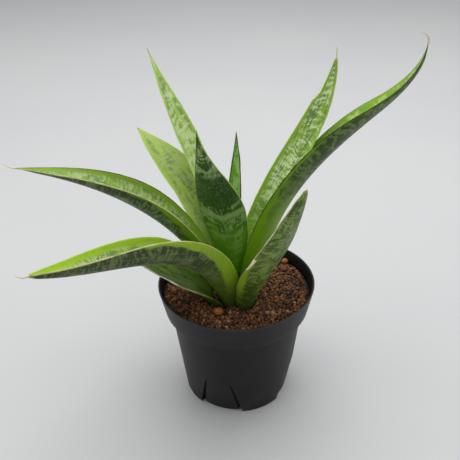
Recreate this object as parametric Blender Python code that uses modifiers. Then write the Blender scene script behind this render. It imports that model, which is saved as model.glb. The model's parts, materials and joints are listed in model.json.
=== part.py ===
"""Potted snake plant: ten channelled leaves in a round nursery pot with slits.

Metres, +Z up. The origin is the middle of the pot's flat underside. The two long
arched leaves run out along -X and +X, and the crown stands a little towards -Y.
"""

import math

import bmesh
import bpy
from mathutils import Matrix, Vector, noise

MM = 0.001
GAP = 0.3 * MM  # between pieces that rest on or against each other

# ---- pot ----
POT_HEIGHT = 98 * MM
RIM_RADIUS = 60 * MM  # outside, at the top edge
COLLAR_HEIGHT = 21 * MM
COLLAR_DRAFT = 4.3 * MM  # how much narrower the collar is at its foot
STEP = 4.2 * MM  # how far the collar stands out over the body
BODY_DRAFT = 8.9 * MM  # how much narrower the body is at its foot
FOOT_BEVEL = 0.8 * MM
WALL = 1.2 * MM
FLOOR = 1.6 * MM

# ---- slits in the foot of the pot, with a pushed-in panel in every second space ----
SLITS = 8
FIRST_SLIT = math.radians(-132.5)  # where its foot is
SLIT_LEAN = math.radians(10)  # from foot to top, each slit the other way from the last
SLIT_HEIGHT = 31 * MM
SLIT_TOP_WIDTH = 1.1 * MM
SLIT_FOOT_WIDTH = 3.2 * MM
SLIT_REACH = 8 * MM  # how far it runs into the floor
SLIT_OVERCUT = 0.06 * MM  # each side, so that no sliver of wall is left
PANEL_RECESS = 2.3 * MM  # at the foot, fading to nothing at the slits' tops
COLUMNS_A_SLIT = 8

# ---- soil ----
SOIL_GAP = 0.5 * MM  # to the pot's wall
SOIL_DROP = 8.5 * MM  # its edge, below the rim
SOIL_DOME = 1.2 * MM
PIT_SPARE = (6 * MM, 3.5 * MM)  # from the leaf bases to the pit's mouth, along X and Y
PIT_SHIFT = -3 * MM  # the mouth leans to the side of the low leaves

# ---- crown ----
CROWN_Y = -8 * MM
CROWN_DEPTH = 5.5 * MM  # the rhizome's top, below the middle of the soil
RHIZOME_SPARE = 1.5 * MM  # how far its top reaches past the leaf bases
RHIZOME_HEIGHT = 22 * MM
RHIZOME_SHOULDER = 1.5 * MM
RHIZOME_FOOT_RADIUS = 9 * MM
RHIZOME_SIDES = 32

# ---- leaves ----
LEAF_BASE_THICKNESS = 3.8 * MM
LEAF_TIP_THICKNESS = 1.8 * MM
THIN_MARGIN = 0.28  # of the thickness in the middle
SLENDER_WIDTH = 8 * MM  # narrower than this, a leaf thins in step with its width
RING_PITCH = LEAF_BASE_THICKNESS + GAP  # from one ring of leaf bases to the next
TAPER_DELAY = 1.7  # over 1, so that a leaf keeps its width for a while past its widest place
STATIONS = 22
STATION_BIAS = 1.25  # stations stand closer together near the base
STEPS_A_STATION = 6  # of the sum that lays out the leaf's middle line
ACROSS = 7  # points across each face of a leaf

SIDES = SLITS * COLUMNS_A_SLIT


# ======== materials ========


def material(name, colour, roughness):
    found = bpy.data.materials.new(name)
    found.use_nodes = True
    shader = found.node_tree.nodes["Principled BSDF"]
    shader.inputs["Base Color"].default_value = (*colour, 1.0)
    shader.inputs["Roughness"].default_value = roughness
    shader.inputs["Metallic"].default_value = 0.0
    return found


# ======== building helpers ========


def clear_scene():
    for old in list(bpy.data.objects):
        bpy.data.objects.remove(old, do_unlink=True)


def collection(name):
    made = bpy.data.collections.new(name)
    bpy.context.scene.collection.children.link(made)
    return made


def object_from(name, mesh_maker, into, finish=None, smooth_angle=35):
    """A new object whose mesh is what mesh_maker draws in an empty bmesh."""
    mesh = bpy.data.meshes.new(name)
    bm = bmesh.new()
    mesh_maker(bm)
    bm.normal_update()
    bmesh.ops.recalc_face_normals(bm, faces=bm.faces)
    bm.to_mesh(mesh)
    bm.free()
    if finish:
        mesh.materials.append(finish)
        mesh.shade_smooth()
        mesh.set_sharp_from_angle(angle=math.radians(smooth_angle))
    made = bpy.data.objects.new(name, mesh)
    into.objects.link(made)
    return made


def as_cutter(cutter):
    cutter.hide_render = True
    cutter.display_type = "WIRE"
    return cutter


def cut(piece, cutter):
    cutting = piece.modifiers.new("cut_" + cutter.name, "BOOLEAN")
    cutting.operation = "DIFFERENCE"
    cutting.solver = "EXACT"
    cutting.object = cutter


def turned(name, profile, into, finish=None, sides=SIDES):
    """A profile of (radius, height) points, top to bottom on its outer side, turned round Z."""

    def draw(bm):
        points = [bm.verts.new((radius, 0, height)) for radius, height in profile]
        for one, following in zip(points, points[1:]):
            bm.edges.new((one, following))

    made = object_from(name, draw, into)
    screw = made.modifiers.new("turn", "SCREW")
    screw.angle = math.tau
    screw.steps = screw.render_steps = sides
    screw.use_merge_vertices = True
    screw.merge_threshold = 0.00001
    bpy.context.view_layer.update()
    graph = bpy.context.evaluated_depsgraph_get()
    mesh = bpy.data.meshes.new_from_object(made.evaluated_get(graph))
    mesh.name = name
    made.modifiers.clear()
    made.data = mesh
    if finish:
        mesh.materials.append(finish)
        mesh.shade_smooth()
        mesh.set_sharp_from_angle(angle=math.radians(35))
    return made


def mix(first, second, share):
    return first + (second - first) * share


def smooth_step(value):
    value = min(max(value, 0.0), 1.0)
    return value * value * (3 - 2 * value)


# ======== pot ========

SHOULDER_HEIGHT = POT_HEIGHT - COLLAR_HEIGHT
COLLAR_FOOT_RADIUS = RIM_RADIUS - COLLAR_DRAFT
SHOULDER_RADIUS = COLLAR_FOOT_RADIUS - STEP
FOOT_RADIUS = SHOULDER_RADIUS - BODY_DRAFT


def body_radius(height):
    """Outside of the pot under its collar."""
    return mix(FOOT_RADIUS, SHOULDER_RADIUS, height / SHOULDER_HEIGHT)


def collar_radius(height):
    """Outside of the collar."""
    return mix(COLLAR_FOOT_RADIUS, RIM_RADIUS, (height - SHOULDER_HEIGHT) / COLLAR_HEIGHT)


def slit_centre(slit, height):
    """Azimuth of the middle of a slit at a height."""
    lean = SLIT_LEAN if slit % 2 == 0 else -SLIT_LEAN
    up = min(height / SLIT_HEIGHT, 1.0)
    return FIRST_SLIT + slit * math.tau / SLITS + lean * up


def slit_half_angle(height, radius):
    width = mix(SLIT_FOOT_WIDTH, SLIT_TOP_WIDTH, min(height / SLIT_HEIGHT, 1.0))
    return width / 2 / radius


def shape_panels(pot):
    """Turns the pot's columns of vertices to follow the slits, and pushes every second panel in."""
    step = math.tau / SIDES
    for vertex in pot.data.vertices:
        x, y, height = vertex.co
        radius = math.hypot(x, y)
        if radius < FOOT_RADIUS / 2:
            continue
        index = round((math.atan2(y, x) % math.tau) / step) % SIDES
        slit, column = divmod(index, COLUMNS_A_SLIT)
        low = slit_centre(slit, height)
        high = slit_centre(slit + 1, height)
        half = slit_half_angle(height, radius)
        if column < 2:
            turned_to = low + (half if column else -half)
        else:
            turned_to = mix(low + half, high - half, (column - 1) / (COLUMNS_A_SLIT - 1))
        even = FIRST_SLIT + (index - 0.5) * step
        to_even = smooth_step((height - SLIT_HEIGHT) / (SHOULDER_HEIGHT - SLIT_HEIGHT))
        azimuth = mix(turned_to, even, to_even)
        in_panel = slit % 2 == 0 and column > 0 or slit % 2 == 1 and column == 0
        if in_panel and height < SLIT_HEIGHT:
            radius -= PANEL_RECESS * (1 - height / SLIT_HEIGHT)
        vertex.co = (radius * math.cos(azimuth), radius * math.sin(azimuth), height)


def slit_cutter(slit, into):
    """A wedge that follows the wall, wide at the foot."""

    def draw(bm):
        bmesh.ops.create_cube(bm, size=2)
        for vertex in bm.verts:
            outer, side, top = vertex.co
            height = SLIT_HEIGHT if top > 0 else -FLOOR
            on_wall = body_radius(height)
            inside = on_wall - (WALL + PANEL_RECESS if top > 0 else SLIT_REACH)
            radius = on_wall + STEP if outer > 0 else inside
            width = mix(SLIT_FOOT_WIDTH, SLIT_TOP_WIDTH, max(height, 0) / SLIT_HEIGHT)
            middle = Matrix.Rotation(slit_centre(slit, height), 3, "Z")
            vertex.co = middle @ Vector((radius, side * (width / 2 + SLIT_OVERCUT), height))

    return as_cutter(object_from(f"slit_cutter_{slit}", draw, into))


def make_pot(parts, cutters, finish):
    ledge = SHOULDER_HEIGHT + WALL
    waist = (SLIT_HEIGHT + SHOULDER_HEIGHT) / 2
    profile = [
        (0, FLOOR),
        (body_radius(FLOOR) - WALL, FLOOR),
        (body_radius(SLIT_HEIGHT) - WALL, SLIT_HEIGHT),
        (body_radius(waist) - WALL, waist),
        (body_radius(ledge) - WALL, ledge),
        (collar_radius(ledge) - WALL, ledge),
        (RIM_RADIUS - WALL, POT_HEIGHT),
        (RIM_RADIUS, POT_HEIGHT),
        (COLLAR_FOOT_RADIUS, SHOULDER_HEIGHT),
        (SHOULDER_RADIUS, SHOULDER_HEIGHT),
        (body_radius(waist), waist),
        (body_radius(SLIT_HEIGHT), SLIT_HEIGHT),
        (body_radius(FOOT_BEVEL), FOOT_BEVEL),
        (FOOT_RADIUS - FOOT_BEVEL, 0),
        (0, 0),
    ]
    pot = turned("nursery_pot", profile, parts, finish)
    shape_panels(pot)
    for slit in range(SLITS):
        cut(pot, slit_cutter(slit, cutters))
    return pot


# ======== soil and rhizome ========

SOIL_EDGE = POT_HEIGHT - SOIL_DROP
CROWN_TOP = SOIL_EDGE + SOIL_DOME - CROWN_DEPTH


def soil_edge_radius():
    """How far out the soil's surface runs."""
    return collar_radius(SOIL_EDGE) - WALL - SOIL_GAP


def soil_top(x, y):
    """Height of the soil's domed surface."""
    share = math.hypot(x, y) / soil_edge_radius()
    return SOIL_EDGE + SOIL_DOME * (1 - share * share)


def make_soil(parts, cutters, finish):
    ledge = SHOULDER_HEIGHT + WALL + GAP
    inside = WALL + SOIL_GAP
    edge = soil_edge_radius()
    dome = [(edge * share, soil_top(edge * share, 0)) for share in (0, 0.25, 0.5, 0.75, 1)]
    floor = FLOOR + GAP
    profile = dome + [
        (collar_radius(ledge) - inside, ledge),
        (body_radius(ledge) - inside, ledge),
        (body_radius(SLIT_HEIGHT) - inside, SLIT_HEIGHT),
        (body_radius(floor) - inside - PANEL_RECESS, floor),
        (0, floor),
    ]
    soil = turned("soil", profile, parts, finish, sides=48)
    cut(soil, pit_cutter(cutters))
    return soil


def crown_reach():
    """How far the outermost leaf base stands out from the crown's middle, to its outer face."""
    return max(leaf.ring for leaf in LEAVES) * RING_PITCH + LEAF_BASE_THICKNESS / 2


def rhizome_profile(gap=0.0):
    """The rhizome's outline, top to bottom, or that of the hollow it sits in."""
    top = CROWN_TOP
    foot = top - RHIZOME_HEIGHT
    radius = crown_reach() + RHIZOME_SPARE
    return [
        (0, top),
        (radius - RHIZOME_SHOULDER, top),
        (radius + gap, top - RHIZOME_SHOULDER),
        (radius + gap, top - RHIZOME_HEIGHT / 3),
        (mix(radius, RHIZOME_FOOT_RADIUS, 0.45) + gap, top - RHIZOME_HEIGHT * 2 / 3),
        (RHIZOME_FOOT_RADIUS + gap, foot - gap),
        (0, foot - gap),
    ]


def make_rhizome(parts, finish):
    rhizome = turned("rhizome", rhizome_profile(), parts, finish, RHIZOME_SIDES)
    rhizome.location.y = CROWN_Y
    return rhizome


def pit_cutter(cutters):
    """The hollow for the rhizome, widening to an oval mouth round the leaf bases."""
    low = CROWN_TOP - RHIZOME_SHOULDER
    high = SOIL_EDGE + SOIL_DOME + 2 * MM

    def draw(bm):
        rings = []
        sides_of_rhizome = rhizome_profile(GAP)[-2:2:-1]
        walls = [(radius, radius, 0, height) for radius, height in sides_of_rhizome]
        rim = crown_reach() + RHIZOME_SPARE + GAP
        walls.append((rim, rim, 0, low))
        mouth = [crown_reach() + spare for spare in PIT_SPARE]
        walls.append((*mouth, PIT_SHIFT, high))
        for along_x, along_y, shift, height in walls:
            ring = []
            for side in range(RHIZOME_SIDES):
                angle = math.tau * side / RHIZOME_SIDES
                x = shift + along_x * math.cos(angle)
                y = CROWN_Y + along_y * math.sin(angle)
                ring.append(bm.verts.new((x, y, height)))
            rings.append(ring)
        bridge(bm, rings)

    return as_cutter(object_from("pit_cutter", draw, cutters))


def bridge(bm, rings):
    """Skins a row of equal rings, and closes its two ends."""
    for ring, following in zip(rings, rings[1:]):
        for here in range(len(ring)):
            there = (here + 1) % len(ring)
            bm.faces.new((ring[here], ring[there], following[there], following[here]))
    bm.faces.new(rings[0][::-1])
    bm.faces.new(rings[-1])


# ======== leaves ========


def through_thirds(values, share):
    """The cubic that takes the four values at 0, 1/3, 2/3 and 1."""
    total = 0.0
    for i, value in enumerate(values):
        for j in range(4):
            if j != i:
                value *= (share - j / 3) / ((i - j) / 3)
        total += value
    return total


class Leaf:
    """One leaf. Angles are in degrees and lengths in millimetres.

    ring      how many leaf thicknesses its base stands out from the crown's middle
    bearing   where its base stands round the crown, from +X towards +Y
    azimuth   which way it leans
    lean      from upright, at its base, at each third and at its tip
    width     measured round its channel where it is widest, with the base's share of it
    widest    how far along that is
    point     how slender its tip is: 1 for a blunt one, 2 for a drawn-out one
    cup       how much of a circle its channel is, at the base, middle and tip
    roll      how far it is turned about its own length, at base and tip
    hook      how far its last quarter turns up beyond its lean
    """

    def __init__(self, name, ring, bearing, azimuth, lean, length, width, base, widest,
                 point, cup, roll, hook=0):
        self.name = name
        self.ring = ring
        self.bearing = math.radians(bearing)
        self.azimuth = math.radians(azimuth)
        self.lean = [math.radians(angle) for angle in lean]
        self.length = length * MM
        self.width = width * MM
        self.base = base
        self.widest = widest
        self.point = point
        self.cup = [math.radians(angle) for angle in cup]
        self.roll = [math.radians(angle) for angle in roll]
        self.hook = math.radians(hook)

    def heading(self, along):
        """Unit vectors along the leaf, across it, and out of its inner face."""
        lean = through_thirds(self.lean, along) - self.hook * max(4 * along - 3, 0) ** 2
        out = Vector((math.cos(self.azimuth), math.sin(self.azimuth), 0))
        up = Vector((0, 0, 1))
        forward = out * math.sin(lean) + up * math.cos(lean)
        inner = up * math.sin(lean) - out * math.cos(lean)
        across = forward.cross(inner)
        roll = mix(*self.roll, along)
        return (
            forward,
            across * math.cos(roll) + inner * math.sin(roll),
            inner * math.cos(roll) - across * math.sin(roll),
        )

    def width_at(self, along):
        if along < self.widest:
            share = self.base + (1 - self.base) * math.sin(math.pi / 2 * along / self.widest)
        else:
            rest = (along - self.widest) / (1 - self.widest)
            share = (1 - rest ** TAPER_DELAY) ** self.point
        return self.width * share

    def cup_at(self, along):
        base, middle, tip = self.cup
        to_middle = (middle - base) * smooth_step(2 * along)
        return base + to_middle + (tip - middle) * smooth_step(2 * along - 1)

    def thickness_at(self, along):
        full = mix(LEAF_BASE_THICKNESS, LEAF_TIP_THICKNESS, along)
        return full * min(max(self.width_at(along) / SLENDER_WIDTH, 0.25), 1)

    def spine(self, shares):
        """Where the leaf's middle line runs, at each share of its length."""
        reach = self.ring * RING_PITCH
        point = Vector((reach * math.cos(self.bearing), CROWN_Y + reach * math.sin(self.bearing), 0))
        points = [point.copy()]
        for start, end in zip(shares, shares[1:]):
            stride = self.length * (end - start) / STEPS_A_STATION
            for step in range(STEPS_A_STATION):
                middle = mix(start, end, (step + 0.5) / STEPS_A_STATION)
                point = point + self.heading(middle)[0] * stride
            points.append(point)
        return points

    def rings(self):
        """Closed cross-sections from the base to just short of the tip, and the tip itself."""
        shares = [(i / STATIONS) ** STATION_BIAS for i in range(STATIONS + 1)]
        points = self.spine(shares)
        sections = []
        for along, point in zip(shares[:-1], points):
            _, across, inner = self.heading(along)
            cup = self.cup_at(along)
            radius = self.width_at(along) / cup
            half = self.thickness_at(along) / 2
            upper, lower = [], []
            for i in range(ACROSS):
                side = 2 * i / (ACROSS - 1) - 1
                angle = side * cup / 2
                skin = half * (1 - (1 - THIN_MARGIN) * side * side)
                facing = inner * math.cos(angle) - across * math.sin(angle)
                middle = point + across * (radius * math.sin(angle))
                middle += inner * (radius * (1 - math.cos(angle)))
                upper.append(middle + facing * skin)
                lower.append(middle - facing * skin)
            sections.append(upper + lower[::-1])
        return sections, points[-1]

    def make(self, parts, finish):
        sections, tip = self.rings()
        seat = CROWN_TOP + GAP - min(point.z for section in sections for point in section)
        lift = Vector((0, 0, seat))

        def draw(bm):
            rings = [[bm.verts.new(point + lift) for point in section] for section in sections]
            end = bm.verts.new(tip + lift)
            for ring, following in zip(rings, rings[1:]):
                for here in range(len(ring)):
                    there = (here + 1) % len(ring)
                    bm.faces.new((ring[here], ring[there], following[there], following[here]))
            for here in range(len(rings[-1])):
                there = (here + 1) % len(rings[-1])
                bm.faces.new((rings[-1][here], rings[-1][there], end))
            bm.faces.new(rings[0][::-1])

        return object_from(self.name, draw, parts, finish, smooth_angle=60)


LEAVES = [
    Leaf("leaf_inner_spear", ring=1, bearing=100, azimuth=72, lean=(5, 0, 10, -10),
         length=134, width=13, base=0.4, widest=0.55, point=1.2, cup=(180, 140, 90), roll=(0, 0)),
    Leaf("leaf_front_broad", ring=1, bearing=-140, azimuth=-110, lean=(5, 15, 30, 10),
         length=172, width=33, base=0.25, widest=0.5, point=1.5, cup=(170, 70, 50), roll=(-10, -10)),
    Leaf("leaf_right_upright", ring=1.5, bearing=40, azimuth=25, lean=(0, 27, 31, 3),
         length=194, width=29, base=0.4, widest=0.5, point=0.7, cup=(150, 80, 60), roll=(0, -10)),
    Leaf("leaf_back_tall", ring=2.3, bearing=107, azimuth=125, lean=(5, 31, 42, 38),
         length=204, width=19, base=0.8, widest=0.6, point=1.5, cup=(90, 100, 50), roll=(0, 0)),
    Leaf("leaf_right_long", ring=2.9, bearing=10, azimuth=0, lean=(12, 25, 46, 34),
         length=227, width=52, base=0.6, widest=0.65, point=1.3, cup=(130, 110, 40), roll=(25, 15),
         hook=36),
    Leaf("leaf_left_arched", ring=2.5, bearing=-175, azimuth=190, lean=(15, 36, 58, 76),
         length=192, width=42, base=0.32, widest=0.5, point=1.2, cup=(130, 165, 80), roll=(0, -6)),
    Leaf("leaf_back_broad", ring=3.7, bearing=128, azimuth=132, lean=(15, 30, 58, 66),
         length=156, width=33, base=0.7, widest=0.6, point=1.1, cup=(90, 80, 45), roll=(0, 0)),
    Leaf("leaf_right_short", ring=4, bearing=-66, azimuth=-47, lean=(13, 28, 26, 12),
         length=132, width=35, base=0.4, widest=0.5, point=0.6, cup=(110, 50, 80), roll=(20, -10)),
    Leaf("leaf_left_low", ring=3.2, bearing=-117, azimuth=227, lean=(13, 49, 70, 60),
         length=195, width=48, base=0.25, widest=0.4, point=0.75, cup=(90, 180, 120), roll=(-15, -15)),
    Leaf("leaf_left_short", ring=4.5, bearing=-171, azimuth=190, lean=(35, 50, 55, 60),
         length=80, width=36, base=0.9, widest=0.45, point=1.2, cup=(110, 60, 60), roll=(0, 5)),
]


# ======== small pieces ========

SHEATH_RING = 4.3  # where the dry sheath stands, in rings from the crown's middle
SHEATH_BEARING = math.radians(-96)
SHEATH_SIZE = (5 * MM, 3.2 * MM, 9 * MM)
SHEATH_LEAN = math.radians(14)

CROWN_PEBBLE = (-120, 7 * MM, 6.4 * MM)  # bearing from the crown, way past its leaves, diameter
WALL_PEBBLES = {  # bearing round the pot, way in from the soil's edge, and diameter
    "pebble_orange_back": (40, 3.6 * MM, 5.2 * MM),
    "pebble_brown_right": (-30, 13.5 * MM, 5.0 * MM),
    "pebble_dark_front": (-75, 11 * MM, 4.8 * MM),
}
PEBBLE_ROUGHNESS = 0.16  # of its radius
PEBBLE_FLATNESS = 0.7  # its height, as a share of its width


def around(x, y, bearing, distance):
    """The point that lies so far from another, at a bearing in degrees."""
    angle = math.radians(bearing)
    return x + distance * math.cos(angle), y + distance * math.sin(angle)


def pebble_places():
    """Each pebble's name, place on the soil and diameter."""
    bearing, beyond, diameter = CROWN_PEBBLE
    yield "pebble_orange_front", around(0, CROWN_Y, bearing, crown_reach() + beyond), diameter
    for name, (bearing, inset, diameter) in WALL_PEBBLES.items():
        yield name, around(0, 0, bearing, soil_edge_radius() - inset), diameter


def make_sheath(parts, finish):
    """The dry scale left at the foot of the crown: a flattened, pointed bud."""
    thick, wide, tall = SHEATH_SIZE[1], SHEATH_SIZE[0], SHEATH_SIZE[2]
    reach = SHEATH_RING * RING_PITCH
    turn = Matrix.Rotation(SHEATH_BEARING, 3, "Z") @ Matrix.Rotation(SHEATH_LEAN, 3, "Y")
    foot = Vector((reach * math.cos(SHEATH_BEARING), CROWN_Y + reach * math.sin(SHEATH_BEARING), 0))

    def draw(bm):
        bmesh.ops.create_uvsphere(bm, u_segments=12, v_segments=8, radius=1)
        for vertex in bm.verts:
            up = (vertex.co.z + 1) / 2
            slim = 1 - 0.35 * up * up
            shaped = Vector((vertex.co.x * thick / 2 * slim, vertex.co.y * wide / 2 * slim, up * tall))
            vertex.co = turn @ shaped + foot
        low = min(vertex.co.z for vertex in bm.verts)
        bmesh.ops.translate(bm, verts=bm.verts, vec=(0, 0, CROWN_TOP + GAP - low))

    return object_from("dry_sheath", draw, parts, finish, smooth_angle=60)


def make_pebble(name, place, diameter, parts, finish):
    """A worn clay grain lying on the soil."""
    x, y = place
    radius = diameter / 2

    def draw(bm):
        bmesh.ops.create_icosphere(bm, subdivisions=2, radius=1)
        for vertex in bm.verts:
            bump = noise.noise(vertex.co * 1.1 + Vector((x, y, 0)) * 200)
            vertex.co *= radius * (1 + PEBBLE_ROUGHNESS * bump)
            vertex.co.z *= PEBBLE_FLATNESS
        low = min(vertex.co.z for vertex in bm.verts)
        rest = soil_top(x, y) + GAP
        bmesh.ops.translate(bm, verts=bm.verts, vec=(x, y, rest - low))

    return object_from(name, draw, parts, finish, smooth_angle=80)


# ======== the whole plant ========


def main():
    clear_scene()
    parts = collection("potted_snake_plant")
    cutters = collection("cutters")
    cutters.hide_render = True
    black = material("pot_plastic", (0.023, 0.023, 0.022), 0.48)
    clay = material("soil_granules", (0.11, 0.045, 0.02), 0.95)
    green = material("leaf_green", (0.08, 0.2, 0.03), 0.42)
    root = material("rhizome_skin", (0.35, 0.17, 0.06), 0.7)
    dry = material("dry_sheath", (0.09, 0.05, 0.025), 0.85)
    orange = material("orange_clay", (0.42, 0.15, 0.04), 0.95)
    make_pot(parts, cutters, black)
    make_soil(parts, cutters, clay)
    make_rhizome(parts, root)
    for leaf in LEAVES:
        leaf.make(parts, green)
    make_sheath(parts, dry)
    for name, place, diameter in pebble_places():
        make_pebble(name, place, diameter, parts, orange if "orange" in name else clay)


main()
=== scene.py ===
# %% [markdown]
# # A snake plant in a nursery pot
# This lesson dresses a plain CAD model of a potted snake plant. The CAD model gives
# every place and size, and each cell below puts a finely shaped, finely coloured
# piece where a CAD solid stands. First the model is loaded, and its box is kept, so
# that the finished plant can be measured against it at the end.

import json
import math
from collections import namedtuple

import bmesh
import bpy
import numpy as np
from mathutils import Matrix, Vector, noise

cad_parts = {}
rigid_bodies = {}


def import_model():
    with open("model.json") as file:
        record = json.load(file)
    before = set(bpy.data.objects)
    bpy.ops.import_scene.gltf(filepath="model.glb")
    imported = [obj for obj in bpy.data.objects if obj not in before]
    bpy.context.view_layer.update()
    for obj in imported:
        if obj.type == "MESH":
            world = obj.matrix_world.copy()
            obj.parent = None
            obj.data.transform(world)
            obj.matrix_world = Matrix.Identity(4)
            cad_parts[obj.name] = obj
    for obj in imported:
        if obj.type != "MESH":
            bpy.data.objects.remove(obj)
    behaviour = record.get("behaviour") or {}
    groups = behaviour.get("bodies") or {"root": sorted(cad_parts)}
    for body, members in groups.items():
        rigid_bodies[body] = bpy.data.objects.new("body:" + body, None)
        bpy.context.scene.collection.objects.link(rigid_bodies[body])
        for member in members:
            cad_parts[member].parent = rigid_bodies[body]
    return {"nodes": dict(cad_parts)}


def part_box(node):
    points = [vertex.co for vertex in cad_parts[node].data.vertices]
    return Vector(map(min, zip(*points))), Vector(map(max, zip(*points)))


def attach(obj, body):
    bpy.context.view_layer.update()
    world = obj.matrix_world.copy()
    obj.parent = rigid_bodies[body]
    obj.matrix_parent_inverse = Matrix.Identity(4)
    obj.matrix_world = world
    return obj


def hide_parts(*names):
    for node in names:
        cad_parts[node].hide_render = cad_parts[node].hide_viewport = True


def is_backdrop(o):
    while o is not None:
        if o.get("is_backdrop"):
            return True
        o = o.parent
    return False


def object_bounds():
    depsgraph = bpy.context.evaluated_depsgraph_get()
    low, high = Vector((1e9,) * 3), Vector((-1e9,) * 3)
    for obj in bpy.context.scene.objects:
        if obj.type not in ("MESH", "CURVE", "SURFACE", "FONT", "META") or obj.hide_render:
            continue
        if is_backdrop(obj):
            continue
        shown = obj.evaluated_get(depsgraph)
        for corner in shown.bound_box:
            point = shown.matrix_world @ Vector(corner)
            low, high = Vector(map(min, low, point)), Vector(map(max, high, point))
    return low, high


MM = 0.001
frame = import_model()
cad_box = [list(corner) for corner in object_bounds()]
scene = bpy.context.scene
print(len(frame["nodes"]), "CAD nodes, box in metres:", cad_box)

# %% [markdown]
# ## The camera
# The plant stands on a table and is looked down on from the front, by about thirty
# degrees. A camera can be turned with angles or with a constraint, but here its three
# axes are worked out and put in one matrix, because that also takes the small roll
# of a camera that is held by hand.

# %% Place the camera
CAMERA_TARGET = Vector((-4, 0, 143)) * MM  # a point over the crown
CAMERA_DISTANCE = 455 * MM
CAMERA_TILT = math.radians(31)  # how far it looks down
CAMERA_ROLL = math.radians(-1.2)
CAMERA_LENS = 48.5  # mm, on a 36 mm sensor

forward = Vector((0, math.cos(CAMERA_TILT), -math.sin(CAMERA_TILT)))
level = Vector((1, 0, 0))
upright = level.cross(forward)
right = level * math.cos(CAMERA_ROLL) + upright * math.sin(CAMERA_ROLL)
above = upright * math.cos(CAMERA_ROLL) - level * math.sin(CAMERA_ROLL)
camera_data = bpy.data.cameras.new("front_camera")
camera_data.lens = CAMERA_LENS
camera_data.sensor_width = 36
camera_data.clip_start = 0.01
camera = bpy.data.objects.new("front_camera", camera_data)
place = CAMERA_TARGET - forward * CAMERA_DISTANCE
camera.matrix_world = Matrix.Translation(place) @ Matrix((right, above, -forward)).transposed().to_4x4()
scene.collection.objects.link(camera)
scene.camera = camera
print("camera at", [round(x, 3) for x in camera.location], "lens", camera_data.lens)

# %% [markdown]
# ## Floor and light
# A plain pale floor runs far past the edge of the view, so no horizon shows. The
# light is that of a light tent: a wide soft panel overhead, a weaker one on each
# side, and an even glow from everywhere else, which is the world's own colour.


# %% Lay the floor and hang the lights
def colour(red, green, blue):
    """A screen colour, 0 to 255, as the linear values that shaders take."""
    shares = [value / 255 for value in (red, green, blue)]
    return (*[s / 12.92 if s < 0.04045 else ((s + 0.055) / 1.055) ** 2.4 for s in shares], 1.0)


def soft_panel(name, place, target, size, power):
    """A square area light that faces a point."""
    data = bpy.data.lights.new(name, "AREA")
    data.shape = "SQUARE"
    data.size = size
    data.energy = power
    panel = bpy.data.objects.new(name, data)
    panel.location = place
    panel.rotation_euler = (Vector(target) - Vector(place)).to_track_quat("-Z", "Y").to_euler()
    scene.collection.objects.link(panel)


FLOOR_REACH = 6.0  # metres each way
GLOW_STRENGTH = 0.46
floor_mesh = bpy.data.meshes.new("floor")
corners = [(x * FLOOR_REACH, y * FLOOR_REACH, 0) for x, y in ((-1, -1), (1, -1), (1, 1), (-1, 1))]
floor_mesh.from_pydata(corners, [], [(0, 1, 2, 3)])
floor = bpy.data.objects.new("floor", floor_mesh)
scene.collection.objects.link(floor)
floor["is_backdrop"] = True

world = bpy.data.worlds.new("light_tent")
world.use_nodes = True
glow = world.node_tree.nodes["Background"]
glow.inputs["Color"].default_value = (0.97, 0.98, 1.0, 1.0)
glow.inputs["Strength"].default_value = GLOW_STRENGTH
scene.world = world
scene.view_settings.view_transform = "Standard"
soft_panel("top_panel", (0.05, 0.4, 1.4), (0, 0.3, 0), 1.4, 18)
soft_panel("left_panel", (-1.3, -0.5, 0.7), (0, 0, 0.12), 0.9, 3)
soft_panel("right_panel", (1.3, -0.3, 0.7), (0, 0, 0.12), 0.9, 2.6)
print("one floor and three soft panels")

# %% [markdown]
# ## Writing materials as sums
# A material is a web of nodes, and drawing it by hand takes many lines. One small
# class stands for a socket here. Python's operators on it add Math nodes, so a mask
# reads as a sum, and its `node` method adds any other node: the settings go on first,
# then the values and links of its sockets.


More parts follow.
